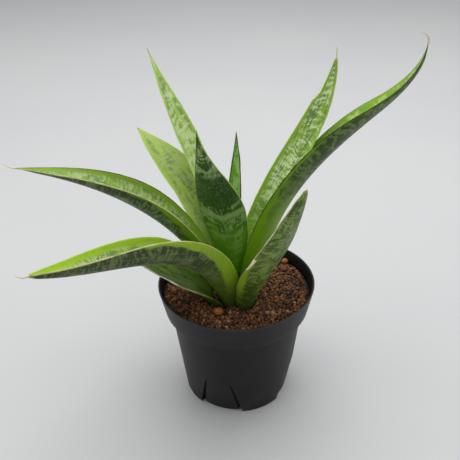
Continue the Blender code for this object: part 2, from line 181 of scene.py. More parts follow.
# %% A socket that takes part in sums
class Wire:
    """One output socket of a material, or only its tree while it has no socket yet."""

    def __init__(self, tree, socket=None):
        self.tree = tree
        self.socket = socket

    def node(self, kind, inputs=None, output=0, stops=None, **settings):
        made = self.tree.nodes.new("ShaderNode" + kind)
        for setting, value in settings.items():
            setattr(made, setting, value)
        if stops:
            ramp = made.color_ramp.elements
            while len(ramp) < len(stops):
                ramp.new(0.5)
            for element, (place, tint) in zip(ramp, stops):
                element.position = place
                element.color = tint
        for name, value in (inputs or {}).items():
            self.feed(made.inputs[name], value)
        return Wire(self.tree, made.outputs[output])

    def feed(self, socket, value):
        if isinstance(value, Wire):
            self.tree.links.new(value.socket, socket)
        else:
            socket.default_value = value

    def maths(self, operation, *values):
        return self.node("Math", dict(enumerate((self, *values))), operation=operation)

    def __add__(self, other):
        return self.maths("ADD", other)

    def __mul__(self, other):
        return self.maths("MULTIPLY", other)

    def __sub__(self, other):
        return self.maths("SUBTRACT", other)

    def __rsub__(self, other):
        return self.node("Math", {0: other, 1: self}, operation="SUBTRACT")

    __radd__ = __add__
    __rmul__ = __mul__

    def step(self, low, high):
        """0 below low and 1 above high, or the reverse where high is the lesser."""
        sockets = {"Value": self, "From Min": low, "From Max": high}
        if high < low:
            sockets.update({"From Min": high, "From Max": low, "To Min": 1.0, "To Max": 0.0})
        return self.node("MapRange", sockets, interpolation_type="SMOOTHSTEP")

    def blend(self, first, second):
        """The first colour where this is 0, and the second where it is 1."""
        sockets = {0: self, 6: first, 7: second}
        return self.node("Mix", sockets, output=2, data_type="RGBA")

    def parts(self):
        """The three numbers of a vector."""
        split = self.node("SeparateXYZ", {0: self})
        outputs = split.socket.node.outputs
        return [Wire(self.tree, outputs[axis]) for axis in "XYZ"]

    def vector(self, x, y, z=0.0):
        return self.node("CombineXYZ", {"X": x, "Y": y, "Z": z})

    def cloud(self, place, scale=1.0, detail=2.0, roughness=0.5):
        """Soft noise about 0.5, at a place."""
        sockets = {"Vector": place, "Scale": scale, "Detail": detail, "Roughness": roughness}
        return self.node("TexNoise", sockets)


def new_finish(name):
    """A material, its shader node, and a wire to build its sums from."""
    finish = bpy.data.materials.new(name)
    finish.use_nodes = True
    return finish, finish.node_tree.nodes["Principled BSDF"], Wire(finish.node_tree)


def emboss(wire, shader, height, strength, distance):
    """Lets a height stand out on a finish as fine relief."""
    relief = wire.node("Bump", {"Height": height, "Strength": strength, "Distance": distance})
    wire.feed(shader.inputs["Normal"], relief)


print("operators ready:", [name for name in ("add", "mul", "sub") if hasattr(Wire, f"__{name}__")])

# %% [markdown]
# The floor is painted board: one pale grey with a very faint unevenness, and matt
# enough that the pot throws no mirror image on it.

# %% Paint the floor
floor_paint, shader, wire = new_finish("pale_board")
place = wire.node("TexCoord", output="Object")
uneven = wire.cloud(place, 2.5, 3.0)
wire.feed(shader.inputs["Base Color"], uneven.blend(colour(196, 197, 198), colour(206, 206, 205)))
wire.feed(shader.inputs["Roughness"], uneven * 0.1 + 0.6)
floor.data.materials.append(floor_paint)

# %% [markdown]
# ## The leaves
# Each leaf grows from a rhizome under the soil. It starts as a deep channel that
# clasps the crown, opens out to a broad blade, and narrows to a hard point. One rule
# can draw them all: a middle line that leans more or less at each third of its
# length, and a curved section that is swept along it. The CAD model uses the same
# rule with few points. Here it runs with many, and the section gets the rounded,
# hard margin that the real leaf has.

# %% The sizes that a leaf's rule needs
CROWN_Y = -8 * MM
CROWN_TOP = 85.2 * MM
GAP = 0.3 * MM
BASE_THICKNESS = 3.8 * MM
TIP_THICKNESS = 1.8 * MM
THIN_MARGIN = 0.28  # of the thickness in the middle
SLENDER_WIDTH = 8 * MM
RING_PITCH = BASE_THICKNESS + GAP
TAPER_DELAY = 1.7  # over 1, so that a leaf keeps its width for a while past its widest place
BEAD = 0.27 * MM  # half the thickness of the hard margin
STATIONS = 230  # along a leaf
FINE_STEPS = 1600  # along the middle line while it is summed up
SIDE_POINTS = 25  # across each face
BEAD_POINTS = 5  # round each margin

Leaf = namedtuple(
    "Leaf", "ring bearing azimuth lean length width base widest point cup roll hook", defaults=[0]
)
LEAVES = {
    "leaf_inner_spear": Leaf(
        ring=1, bearing=100, azimuth=72, lean=(5, 0, 10, -10),
        length=134, width=13, base=0.4, widest=0.55, point=1.2, cup=(180, 140, 90), roll=(0, 0),
    ),
    "leaf_front_broad": Leaf(
        ring=1, bearing=-140, azimuth=-110, lean=(5, 15, 30, 10),
        length=172, width=33, base=0.25, widest=0.5, point=1.5, cup=(170, 70, 50), roll=(-10, -10),
    ),
    "leaf_right_upright": Leaf(
        ring=1.5, bearing=40, azimuth=25, lean=(0, 27, 31, 3),
        length=194, width=29, base=0.4, widest=0.5, point=0.7, cup=(150, 80, 60), roll=(0, -10),
    ),
    "leaf_back_tall": Leaf(
        ring=2.3, bearing=107, azimuth=125, lean=(5, 31, 42, 38),
        length=204, width=19, base=0.8, widest=0.6, point=1.5, cup=(90, 100, 50), roll=(0, 0),
    ),
    "leaf_right_long": Leaf(
        ring=2.9, bearing=10, azimuth=0, lean=(12, 25, 46, 34),
        length=227, width=52, base=0.6, widest=0.65, point=1.3, cup=(130, 110, 40), roll=(25, 15), hook=36,
    ),
    "leaf_left_arched": Leaf(
        ring=2.5, bearing=-175, azimuth=190, lean=(15, 36, 58, 76),
        length=192, width=42, base=0.32, widest=0.5, point=1.2, cup=(130, 165, 80), roll=(0, -6),
    ),
    "leaf_back_broad": Leaf(
        ring=3.7, bearing=128, azimuth=132, lean=(15, 30, 58, 66),
        length=156, width=33, base=0.7, widest=0.6, point=1.1, cup=(90, 80, 45), roll=(0, 0),
    ),
    "leaf_right_short": Leaf(
        ring=4, bearing=-66, azimuth=-47, lean=(13, 28, 26, 12),
        length=132, width=35, base=0.4, widest=0.5, point=0.6, cup=(110, 50, 80), roll=(20, -10),
    ),
    "leaf_left_low": Leaf(
        ring=3.2, bearing=-117, azimuth=227, lean=(13, 49, 70, 60),
        length=195, width=48, base=0.25, widest=0.4, point=0.75, cup=(90, 180, 120), roll=(-15, -15),
    ),
    "leaf_left_short": Leaf(
        ring=4.5, bearing=-171, azimuth=190, lean=(35, 50, 55, 60),
        length=80, width=36, base=0.9, widest=0.45, point=1.2, cup=(110, 60, 60), roll=(0, 5),
    ),
}
print(len(LEAVES), "leaves, the longest", max(leaf.length for leaf in LEAVES.values()), "mm")


# %% The rule, for many places along a leaf at once
def ease(value):
    value = np.clip(value, 0.0, 1.0)
    return value * value * (3 - 2 * value)


def through_thirds(values, share):
    """The cubic that takes the four values at 0, 1/3, 2/3 and 1."""
    total = 0.0
    for i, value in enumerate(values):
        for j in range(4):
            if j != i:
                value = value * (share - j / 3) / ((i - j) / 3)
        total = total + value
    return total


def unit_rows(rows):
    return rows / np.linalg.norm(rows, axis=1, keepdims=True)


def headings(leaf, share):
    """Rows of unit vectors along the leaf, across it, and out of its inner face."""
    lean = through_thirds(np.radians(leaf.lean), share)
    lean = lean - np.radians(leaf.hook) * np.clip(4 * share - 3, 0, 1) ** 2
    azimuth = np.radians(leaf.azimuth)
    roll = np.radians(leaf.roll[0] + (leaf.roll[1] - leaf.roll[0]) * share)
    out = np.array([[np.cos(azimuth), np.sin(azimuth), 0.0]])
    up = np.array([[0.0, 0.0, 1.0]])
    lean, roll = lean[:, None], roll[:, None]
    along = out * np.sin(lean) + up * np.cos(lean)
    inner = up * np.sin(lean) - out * np.cos(lean)
    across = np.cross(along, inner)
    rolled = across * np.cos(roll) + inner * np.sin(roll)
    return along, rolled, inner * np.cos(roll) - across * np.sin(roll)


def width_at(leaf, share):
    """The leaf's width round its section: it swells from the base, then tapers to the point."""
    low = leaf.base + (1 - leaf.base) * np.sin(np.pi / 2 * np.clip(share / leaf.widest, 0, 1))
    rest = np.clip((share - leaf.widest) / (1 - leaf.widest), 0, 1)
    high = (1 - rest**TAPER_DELAY) ** leaf.point
    return leaf.width * MM * np.where(share < leaf.widest, low, high)


def cup_at(leaf, share):
    """How far round the section bends, in radians: a deep channel has a large angle."""
    base, middle, tip = np.radians(leaf.cup)
    return base + (middle - base) * ease(2 * share) + (tip - middle) * ease(2 * share - 1)


def middle_line(leaf, shares):
    """Where the leaf's middle line runs, at each share of its length."""
    ring, bearing, length = leaf.ring * RING_PITCH, math.radians(leaf.bearing), leaf.length * MM
    fine = np.linspace(0, 1, FINE_STEPS + 1)
    strides = headings(leaf, (fine[1:] + fine[:-1]) / 2)[0] * (length / FINE_STEPS)
    line = np.concatenate([np.zeros((1, 3)), np.cumsum(strides, 0)])
    line += [ring * math.cos(bearing), CROWN_Y + ring * math.sin(bearing), 0]
    return np.stack([np.interp(shares, fine, line[:, axis]) for axis in range(3)], 1)


longest_end = middle_line(LEAVES["leaf_right_long"], np.array([1.0]))[0]
print("middle of the longest leaf ends at", (longest_end / MM).round(), "mm")

# %% [markdown]
# Three leaves carry old damage: a torn shoulder near a tip, and worn places on two low
# margins. A notch is a real change of outline, so it takes width away from one side.
# The margins also ripple a little, as living margins do, but only above the crown,
# where no neighbour is near.

# %% Notches and ripples
NOTCHES = {  # leaf: side, share along, depth, length of the step and of the recovery
    "leaf_right_upright": [(-1, 0.845, 2.2 * MM, 0.008, 0.3)],
    "leaf_right_short": [(1, 0.41, 0.6 * MM, 0.03, 0.1)],
    "leaf_left_short": [(-1, 0.55, 0.7 * MM, 0.02, 0.05)],
}
RIPPLE = 0.35 * MM


def side_loss(name, side, share):
    """How much narrower a leaf is on one side, at each share of its length."""
    loss = np.zeros_like(share)
    for where, start, depth, step, recovery in NOTCHES.get(name, []):
        if where == side:
            back = ease((share - start - step) / recovery)
            loss += depth * ease((share - start) / step) * (1 - back)
    return loss


def ripple(name, side, share):
    """How far a margin stands off the smooth leaf, at each share of its length."""
    seed = float(sum(map(ord, name)) % 97) + 31.0 * side
    wave = np.array([noise.noise(Vector((13.0 * float(s), seed, 0.5))) for s in share])
    return RIPPLE * wave * ease((share - 0.25) / 0.3) * ease((1 - share) / 0.12)


print({name: len(cuts) for name, cuts in NOTCHES.items()})


# %% [markdown]
# The section is a ring of points: the inner face, one margin, the outer face and the
# other margin. Beside its place, each point remembers where it is on the leaf, in
# millimetres and in shares, because the leaf's bands and stripes follow the leaf and
# not the room. Those numbers are stored on the mesh as attributes.


# %% Build one leaf as arrays
def leaf_points(name, leaf):
    """Places, millimetres on the leaf, and shares on the leaf, each stations x points x 3."""
    share = (np.arange(STATIONS) / STATIONS) ** 1.1 * 0.9985
    along, across, inner = headings(leaf, share)
    line = middle_line(leaf, share)
    width, cup = width_at(leaf, share), cup_at(leaf, share)
    radius = width / cup
    half = (BASE_THICKNESS + (TIP_THICKNESS - BASE_THICKNESS) * share) / 2
    half = half * np.clip(width / SLENDER_WIDTH, 0.25, 1)
    bead = np.minimum(BEAD, half * 0.8)
    flat = np.linspace(-1, 1, SIDE_POINTS)
    turn = np.linspace(0, np.pi, BEAD_POINTS + 2)[1:-1]
    rows = [(side, 1.0, None) for side in flat]
    rows += [(1.0, None, angle) for angle in turn]
    rows += [(side, -1.0, None) for side in flat[::-1]]
    rows += [(-1.0, None, angle) for angle in turn[::-1]]
    places, sizes, shares = [], [], []
    for side, face, angle in rows:
        end = 1 if side > 0 else -1
        reach = width / 2 - side_loss(name, end, share) * abs(side) ** 0.5
        bend = side * reach / radius
        lift = ripple(name, end, share) * abs(side) ** 3
        facing = inner * np.cos(bend)[:, None] - across * np.sin(bend)[:, None]
        outward = (across * np.cos(bend)[:, None] + inner * np.sin(bend)[:, None]) * end
        place = line + across * (radius * np.sin(bend))[:, None]
        place = place + inner * (radius * (1 - np.cos(bend)))[:, None] + facing * lift[:, None]
        skin = np.maximum(half * (1 - (1 - THIN_MARGIN) * side * side), bead)
        if face is None:
            place = place + facing * (bead * math.cos(angle))[:, None]
            place = place + outward * (bead * 1.3 * math.sin(angle))[:, None]
            face = math.cos(angle)
        else:
            place = place + facing * (face * skin)[:, None]
        places.append(place)
        to_edge = (1 - abs(side)) * reach
        sizes.append(np.stack([side * reach, share * leaf.length * MM, to_edge], 1) / MM)
        shares.append(np.stack([side + 0 * share, share, (face + 1) / 2 + 0 * share], 1))
    return [np.stack(rows, 1) for rows in (places, sizes, shares)]


def swept_mesh(name, rings, tip):
    """A closed mesh from rows of rings that end in one point, with its base capped."""
    count, around = rings.shape[:2]
    here = np.arange(around)
    there = (here + 1) % around
    quads = []
    for row in range(count - 1):
        low, high = row * around, (row + 1) * around
        quads.append(np.stack([low + here, low + there, high + there, high + here], 1))
    faces = np.concatenate(quads).tolist()
    last = (count - 1) * around
    faces += [(last + a, last + b, count * around) for a, b in zip(here, there)]
    centre = rings[0].mean(0)
    faces += [(b, a, count * around + 1) for a, b in zip(here.tolist(), there.tolist())]
    mesh = bpy.data.meshes.new(name)
    mesh.from_pydata([*rings.reshape(-1, 3), tip, centre], [], faces)
    return mesh


def store(mesh, name, rows):
    """Keeps a vector for every point of the mesh."""
    kept = mesh.attributes.new(name, "FLOAT_VECTOR", "POINT")
    kept.data.foreach_set("vector", np.asarray(rows, np.float32).ravel())


def face_out(mesh):
    """Turns a closed mesh's faces outward if they point in, and shades it smooth."""
    work = bmesh.new()
    work.from_mesh(mesh)
    if work.calc_volume(signed=True) < 0:
        bmesh.ops.reverse_faces(work, faces=work.faces)
    work.to_mesh(mesh)
    work.free()
    mesh.shade_smooth()
    return mesh


def add_piece(name, mesh, finish, nodes=()):
    """Puts a finished mesh in the scene, riding on the plant and standing for CAD nodes."""
    mesh.name = name
    mesh.materials.clear()
    mesh.materials.append(finish)
    piece = bpy.data.objects.new(name, mesh)
    scene.collection.objects.link(piece)
    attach(piece, "root")
    if nodes:
        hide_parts(*nodes)
    return piece


def leaf_mesh(name, leaf):
    """One leaf that stands just above the rhizome, and the place of its tip."""
    places, sizes, shares = leaf_points(name, leaf)
    rise = CROWN_TOP + GAP - places[..., 2].min()
    places[..., 2] += rise
    tip = middle_line(leaf, np.array([1.0]))[0] + [0, 0, rise]
    mesh = swept_mesh(name, places, tip)
    kept = (("leaf_mm", sizes, (0, leaf.length, 0)), ("leaf_share", shares, (0, 1, 0.5)))
    for label, rows, at_tip in kept:
        ends = np.array([at_tip, rows[0].mean(0)])
        store(mesh, label, np.concatenate([rows.reshape(-1, 3), ends]))
    return face_out(mesh), tip


leaf_meshes = {name: leaf_mesh(name, leaf) for name, leaf in LEAVES.items()}
print("a leaf has", len(leaf_meshes["leaf_right_long"][0].polygons), "faces")

# %% [markdown]
# ## Leaf skin
# The inner face of a leaf is bright: yellow-green along the margins and near the
# crown, with grey-green and pale mottling down its middle. The outer face, the
# underside, is painted dark, partly as painted shade, with fine ragged bars across it
# in paler grey-green. Both are painted from the numbers that each point remembers. A
# sine would give bars as even as a ruler's, so noise that is squeezed along the leaf
# and stretched across it gives them instead.
# Finer noise frays them along the leaf's fibres and fades them out, as growth does. A
# few wide belts are listed where a leaf has them. The margin is a thin dry line, with
# cream on some leaves that is partly a painted highlight where the margin catches the
# light; the tip is dead and tan, and an old scar is white.

# %% What each leaf's skin looks like
CROWN_PAINTED_SHADE = (30, 46, 8)
CREAM, LIME, TAN = (208, 204, 150), (176, 200, 100), (164, 146, 84)
DARK_EDGE, WHITE = (36, 56, 14), (240, 236, 216)
SKINS = {
    # outer, inner: a face's dark and pale colours; the outer face's are darker, partly painted shade on the
    # underside. flush: by the margins. heart: at the crown.
    # rim: the hard margin on the negative and the positive side. pitch, lane: a bar's length along
    # the leaf and its run across it, in mm. ragged: mm of unevenness. base: the share that the
    # heart's colour reaches. edge: mm that the flush reaches. bold: how far the bars stand out.
    "leaf_left_arched": dict(
        outer=((44, 64, 22), (112, 134, 78)), inner=((100, 124, 76), (176, 196, 136)),
        flush=(122, 158, 16), heart=(100, 140, 20), rim=(CREAM, DARK_EDGE),
        pitch=2.4, lane=1.6, ragged=1.3, base=0.36, edge=5.0, seed=1.0,
    ),
    "leaf_left_low": dict(
        outer=((48, 64, 28), (116, 132, 80)), inner=((96, 122, 68), (180, 200, 140)),
        flush=(150, 186, 22), heart=(82, 108, 14), rim=(CREAM, LIME),
        pitch=2.4, lane=1.7, ragged=1.2, base=0.26, edge=7.0, seed=2.0, bold=0.7,
    ),
    "leaf_left_short": dict(
        outer=((46, 68, 14), (88, 112, 46)), inner=((56, 86, 16), (104, 138, 50)),
        flush=(112, 146, 26), heart=(64, 88, 14), rim=(CREAM, DARK_EDGE),
        pitch=3.0, lane=2.0, ragged=1.6, base=0.1, edge=2.5, seed=3.0,
        scar=(0.50, 0.58, -1),
    ),
    "leaf_back_broad": dict(
        outer=((66, 92, 30), (120, 142, 72)), inner=((122, 148, 72), (170, 192, 116)),
        flush=(160, 188, 70), heart=(130, 160, 44), rim=(LIME, LIME),
        pitch=2.8, lane=2.0, ragged=1.6, base=0.34, edge=4.0, seed=4.0,
    ),
    "leaf_back_tall": dict(
        outer=((62, 92, 28), (120, 144, 76)), inner=((112, 140, 72), (198, 214, 156)),
        flush=(148, 180, 76), heart=(120, 156, 44), rim=(LIME, LIME),
        pitch=4.6, lane=3.0, ragged=2.2, base=0.3, edge=1.6, seed=5.0,
    ),
    "leaf_front_broad": dict(
        outer=((38, 72, 14), (150, 176, 112)), inner=((76, 114, 32), (148, 176, 104)),
        # painted light: this leaf's heart is painted lighter than its own colour, against the shade that the
        # leaves above cast on its foot
        flush=(72, 116, 18), heart=(116, 172, 40), rim=(LIME, DARK_EDGE),
        pitch=5.0, lane=2.6, ragged=2.0, base=0.46, edge=1.0, seed=6.0,
        belts=((0.50, 0.030, 0.95), (0.80, 0.016, 0.8)), bold=0.9, chevron=0.34, calm=(0.56, 0.77),
    ),
    "leaf_inner_spear": dict(
        outer=((70, 112, 30), (160, 190, 120)), inner=((108, 160, 50), (190, 218, 146)),
        flush=(120, 170, 44), heart=(88, 130, 24), rim=(DARK_EDGE, DARK_EDGE),
        pitch=5.5, lane=2.4, ragged=2.4, base=0.25, edge=0.8, seed=7.0,
    ),
    "leaf_right_upright": dict(
        outer=((58, 88, 28), (116, 140, 76)), inner=((96, 128, 60), (222, 234, 184)),
        flush=(130, 168, 34), heart=(128, 172, 22), rim=(LIME, LIME),
        pitch=3.0, lane=2.4, ragged=1.4, base=0.40, edge=3.6, seed=8.0,
        tip=CREAM, scar=(0.815, 0.852, -1),
    ),
    "leaf_right_long": dict(
        outer=((46, 68, 20), (124, 150, 80)), inner=((112, 150, 52), (182, 206, 120)),
        flush=(124, 166, 12), heart=(128, 172, 10), rim=(DARK_EDGE, DARK_EDGE),
        pitch=4.0, lane=2.2, ragged=2.0, base=0.42, edge=4.0, seed=9.0,
        bold=0.55, tip=(92, 112, 46),
    ),
    "leaf_right_short": dict(
        outer=((66, 92, 24), (148, 172, 90)), inner=((104, 142, 46), (176, 200, 112)),
        flush=(138, 174, 26), heart=(64, 86, 12), rim=(TAN, TAN),
        pitch=3.0, lane=2.0, ragged=1.6, base=0.24, edge=3.4, seed=10.0, bold=0.65,
        scar=(0.41, 0.53, 1),
    ),
}
print(len(SKINS), "skins")


# %% Bars across a leaf
DARK_BELOW, PALE_ABOVE = 0.42, 0.64  # of the noise that makes the bars
CALM_FADE = 0.92  # how much of the bars a calm stretch loses
BAR_CHEVRON = 0.1  # mm that a bar falls back for each mm from the middle


def bar_mask(wire, skin, length, across, along, seed):
    """1 on the pale bars and 0 between them, from millimetres on the leaf."""
    pitch = skin["pitch"]
    drift = wire.cloud(wire.vector(across * 0.07, along * 0.05, seed + 20), 1.0, 1.0) - 0.5
    sway = wire.cloud(wire.vector(across * 0.16, along * 0.12, seed + 25), 1.0, 2.0) - 0.5
    lane = across * (1 / skin["lane"])
    jog = wire.cloud(wire.vector(lane * 0.8, along * 0.06, seed), 1.0, 1.0) - 0.5
    chevron = across.maths("ABSOLUTE") * skin.get("chevron", BAR_CHEVRON)
    place = along - chevron + jog * (2 * skin["ragged"]) + drift * (4 * pitch)
    bent = (place + sway * pitch) * (1.25 / pitch)
    blots = wire.cloud(wire.vector(lane * 0.24, bent, seed + 40), 1.0, 2.0)
    streaks = wire.cloud(wire.vector(across * 0.9, along * 0.1, seed + 50), 1.0, 2.0)
    patches = wire.cloud(wire.vector(across * 0.1, along * 0.05, seed + 60), 1.0, 2.0)
    bars = (blots + (streaks - 0.5) * 0.6 + (patches - 0.5) * 0.4).step(DARK_BELOW, PALE_ABOVE)
    specks = wire.cloud(wire.vector(across * 1.1, along * 0.6, seed + 70), 1.0, 2.0).step(0.60, 0.68)
    mask = bars.maths("MAXIMUM", specks * 0.3)
    if "calm" in skin:
        low, high = (share * length for share in skin["calm"])
        calm = (place - drift * (3 * pitch)).step(low - 2, low + 2) * along.step(high + 3, high - 3)
        mask = mask * (1 - calm * CALM_FADE) + specks * calm * 0.7
    for middle, spread, amount in skin.get("belts", ()):
        off = (place + sway * 7 - drift * (3.4 * pitch) - middle * length).maths("ABSOLUTE")
        frayed = (streaks * 0.9 + 0.45).maths("MINIMUM", 1.0)
        belt = off.step(spread * length, spread * length * 0.3) * frayed
        mask = mask.maths("MAXIMUM", belt * amount)
    return mask.maths("MINIMUM", 1.0)


# %% Paint a leaf's skin
FACES_APART = 31.0  # mm between the places in the noise that the two faces take
BOLD = 0.8  # how far bars stand out where a skin doesn't say
RIM_WIDTH = 0.36  # mm
DEAD_FROM, DEAD_FULL = 0.978, 0.99  # shares of the length where the dry tip starts and is full


def leaf_colour(wire, skin, length, across, along, edge, share, face):
    """The colour of living skin on both faces, and the slow noise that bends its borders."""
    seed = skin["seed"]
    flush, heart = colour(*skin["flush"]), colour(*skin["heart"])
    wobble = wire.cloud(wire.vector(across * 0.15, along * 0.06, seed + 80), 1.0, 3.0) - 0.5
    near_base = (share + wobble * 0.25).step(skin["base"] + 0.12, skin["base"] - 0.18)
    near_edge = (edge + wobble * 5.0).step(skin["edge"], skin["edge"] * 0.3)
    margin = (share + wobble * 0.2).step(0.75, 0.15) * (1.4 * skin["edge"]) + 0.5
    out_edge = (edge + wobble * 2.0 - margin).step(0.4, -1.6)
    bars = bar_mask(wire, skin, length, across, along, seed)
    # painted shade: the outer face, the underside, takes darker colours than the inner face, partly as shade;
    # its bars are its own
    outer_dark, outer_pale = (colour(*tint) for tint in skin["outer"])
    outer = (bars * skin.get("bold", BOLD)).blend(outer_dark, outer_pale)
    outer = (near_base * (0.85 - bars * 0.25)).blend(outer, heart)
    in_flush = out_edge * (0.85 - bars * 0.3) * share.step(0.08, 0.25)
    outer = in_flush.blend(outer, flush)
    inner_bars = bar_mask(wire, skin, length, across + FACES_APART, along, seed + 7)
    inner_dark, inner_pale = (colour(*tint) for tint in skin["inner"])
    shade = wire.cloud(wire.vector(across * 0.2, along * 0.05, seed + 90), 1.0, 3.0)
    middle = shade.step(0.4, 0.6).blend(flush, inner_dark)
    middle = (inner_bars * 0.9).blend(middle, inner_pale)
    inner = near_edge.maths("MAXIMUM", near_base * 0.9).blend(middle, flush)
    inner = (inner_bars * 0.18).blend(inner, inner_dark)
    return face.step(0.35, 0.65).blend(outer, inner), wobble


def scar_mask(scar, side, share, edge, wobble):
    """1 on a dry scar that widens along a margin and ends sharply."""
    start, end, where = scar
    reach = (share.step(start, end) * 1.6 + 0.5) * share.step(end, end - 0.01)
    here = share.step(start, start + 0.015) * (side * where).step(0.1, 0.4)
    return here * (edge + wobble * 0.6 - reach).step(0.15, -0.15)


def leaf_finish(name, skin):
    """A leaf's whole finish: living skin, a darker foot that is partly painted shade from the crowded crown,
    hard rim, scar and dead tip.
    """
    finish, shader, wire = new_finish("skin_of_" + name)
    across, along, edge = wire.node("Attribute", output="Vector", attribute_name="leaf_mm").parts()
    side, share, face = wire.node("Attribute", output="Vector", attribute_name="leaf_share").parts()
    length = LEAVES[name].length
    skin_colour, wobble = leaf_colour(wire, skin, length, across, along, edge, share, face)
    # painted shade: towards the crown each leaf's foot is darkened, partly its own darker colour and partly
    # the shade of the crowded leaves
    skin_colour = (share.step(0.11, 0.0) * 0.6).blend(skin_colour, colour(*CROWN_PAINTED_SHADE))
    # partly painted highlight: a cream rim on one side stands for the light that the margin's flank catches;
    # other rims are the margin's own colour
    rim_colour = side.step(-0.1, 0.1).blend(*(colour(*tint) for tint in skin["rim"]))
    rim_wear_and_highlight_patches = wire.cloud(wire.vector(side * 2.0, along * 0.12, skin["seed"] + 95), 1.0, 2.0)
    rim = edge.step(RIM_WIDTH, 0.1) * share.step(0.10, 0.35) * (rim_wear_and_highlight_patches.step(0.3, 0.6) * 0.6 + 0.4)
    skin_colour = rim.blend(skin_colour, rim_colour)
    dead = tip = (share + wobble * 0.01).step(DEAD_FROM, DEAD_FULL)
    if "scar" in skin:
        scar = scar_mask(skin["scar"], side, share, edge, wobble)
        skin_colour = scar.blend(skin_colour, colour(*WHITE))
        dead = tip.maths("MAXIMUM", scar)
    skin_colour = tip.blend(skin_colour, colour(*skin.get("tip", TAN)))
    wire.feed(shader.inputs["Base Color"], skin_colour)
    grain = wire.cloud(wire.vector(across * 1.6, along * 0.12, skin["seed"]), 1.0, 3.0)
    pores = wire.cloud(wire.vector(across * 2.2, along * 2.2, skin["seed"] + 5), 1.0, 2.0)
    wire.feed(shader.inputs["Roughness"], grain * 0.16 + 0.40 + dead * 0.3)
    emboss(wire, shader, grain * 0.7 + pores * 0.5, 0.28, 0.4 * MM)
    shader.inputs["Specular IOR Level"].default_value = 0.26
    return finish


for name, (mesh, tip) in leaf_meshes.items():
    title = name.removeprefix("leaf_") + "_leaf"
    add_piece(title, mesh, leaf_finish(name, SKINS[name]), [name])
print("leaves placed")

# %% [markdown]
# ## The pot
# A nursery pot is one thin wall of moulded plastic: a tapered body, a collar that
# stands out so that pots stack, and slits in its foot that let water and roots out.
# A thin wall is best made as a single sheet that a Solidify modifier thickens. The
# sheet's columns are turned to run along the slits, so a slit is just faces left out.

# %% The pot's sizes and outline
POT_HEIGHT, RIM_RADIUS = 98 * MM, 60 * MM
COLLAR_HEIGHT, COLLAR_DRAFT, STEP_OUT = 21 * MM, 4.3 * MM, 4.2 * MM
BODY_DRAFT, WALL = 8.9 * MM, 1.2 * MM
SLITS, FIRST_SLIT, SLIT_LEAN = 8, math.radians(-132.5), math.radians(10)
SLIT_HEIGHT, SLIT_TOP_WIDTH, SLIT_FOOT_WIDTH = 31 * MM, 1.1 * MM, 3.2 * MM
SLIT_REACH, PANEL_RECESS = 8 * MM, 2.3 * MM
PANEL_COLUMNS = 24  # across the space between two slits
NEAR = 0.001 * MM  # closer than this counts as the same place

SHOULDER = POT_HEIGHT - COLLAR_HEIGHT
COLLAR_FOOT = RIM_RADIUS - COLLAR_DRAFT
SHOULDER_RADIUS = COLLAR_FOOT - STEP_OUT
FOOT_RADIUS = SHOULDER_RADIUS - BODY_DRAFT


def body_radius(height):
    return FOOT_RADIUS + (SHOULDER_RADIUS - FOOT_RADIUS) * height / SHOULDER


def collar_radius(height):
    return COLLAR_FOOT + (RIM_RADIUS - COLLAR_FOOT) * (height - SHOULDER) / COLLAR_HEIGHT


def rounded(corner, before, after, radius, steps=5):
    """Points of a round over a corner of the outline."""
    corner, before, after = Vector(corner), Vector(before), Vector(after)
    start = corner + (before - corner).normalized() * radius
    end = corner + (after - corner).normalized() * radius
    return [tuple((start.lerp(corner, t)).lerp(corner.lerp(end, t), t)) for t in np.linspace(0, 1, steps)]


def pot_outline():
    """The pot's outside from the middle of its foot to its rim, as (radius, height)."""
    foot, shoulder, collar = (FOOT_RADIUS, 0.0), (SHOULDER_RADIUS, SHOULDER), (COLLAR_FOOT, SHOULDER)
    points = [(radius * MM, 0.0) for radius in (0, 8, 16, 24, 30)]
    points += [(FOOT_RADIUS - SLIT_REACH, 0.0), (FOOT_RADIUS - 3 * MM, 0.0)]
    points += rounded(foot, (0, 0), (body_radius(SLIT_HEIGHT), SLIT_HEIGHT), 1.1 * MM)
    points += [(body_radius(h * MM), h * MM) for h in (4, 8, 13, 18, 23, 27)]
    points += [(body_radius(SLIT_HEIGHT), SLIT_HEIGHT)]
    points += [(body_radius(SLIT_HEIGHT + 3 * MM), SLIT_HEIGHT + 3 * MM)]
    points += [(body_radius(h * MM), h * MM) for h in (42, 50, 58, 66, 72)]
    points += rounded(shoulder, (FOOT_RADIUS, 0), collar, 1.3 * MM)
    points += rounded(collar, shoulder, (RIM_RADIUS, POT_HEIGHT), 1.0 * MM)
    points += [(collar_radius(h * MM), h * MM) for h in (81, 85, 89, 93, 96)]
    return points + [(RIM_RADIUS, POT_HEIGHT)]


outline = pot_outline()
print(len(outline), "points on the outline, rim at", outline[-1])


# %% Turn the sheet, and leave the slits out
def slit_middle(slit, height):
    lean = SLIT_LEAN if slit % 2 == 0 else -SLIT_LEAN
    return FIRST_SLIT + slit * math.tau / SLITS + lean * min(height / SLIT_HEIGHT, 1.0)


def sheet_point(slit, column, radius, height):
    """A point of the sheet: column 0 and 1 are a slit's two edges, and the rest fill the panel after it."""
    on_wall = max(radius, FOOT_RADIUS / 2)
    width = SLIT_FOOT_WIDTH + (SLIT_TOP_WIDTH - SLIT_FOOT_WIDTH) * min(height / SLIT_HEIGHT, 1.0)
    half = width / 2 / on_wall
    low, high = slit_middle(slit, height), slit_middle(slit + 1, height)
    share = max(column - 1, 0) / PANEL_COLUMNS
    azimuth = low - half if column == 0 else low + half + (high - low - 2 * half) * share
    up = float(ease((height - SLIT_HEIGHT) / (SHOULDER - SLIT_HEIGHT)))
    even = FIRST_SLIT + (slit + (column - 0.5) / (PANEL_COLUMNS + 1)) * math.tau / SLITS
    azimuth += (even - azimuth) * up
    pushed_in = slit % 2 == 0 and column > 0 or slit % 2 == 1 and column == 0
    if pushed_in and radius > FOOT_RADIUS / 2 and height < SLIT_HEIGHT:
        radius -= PANEL_RECESS * (1 - height / SLIT_HEIGHT)
    return radius * math.cos(azimuth), radius * math.sin(azimuth), height


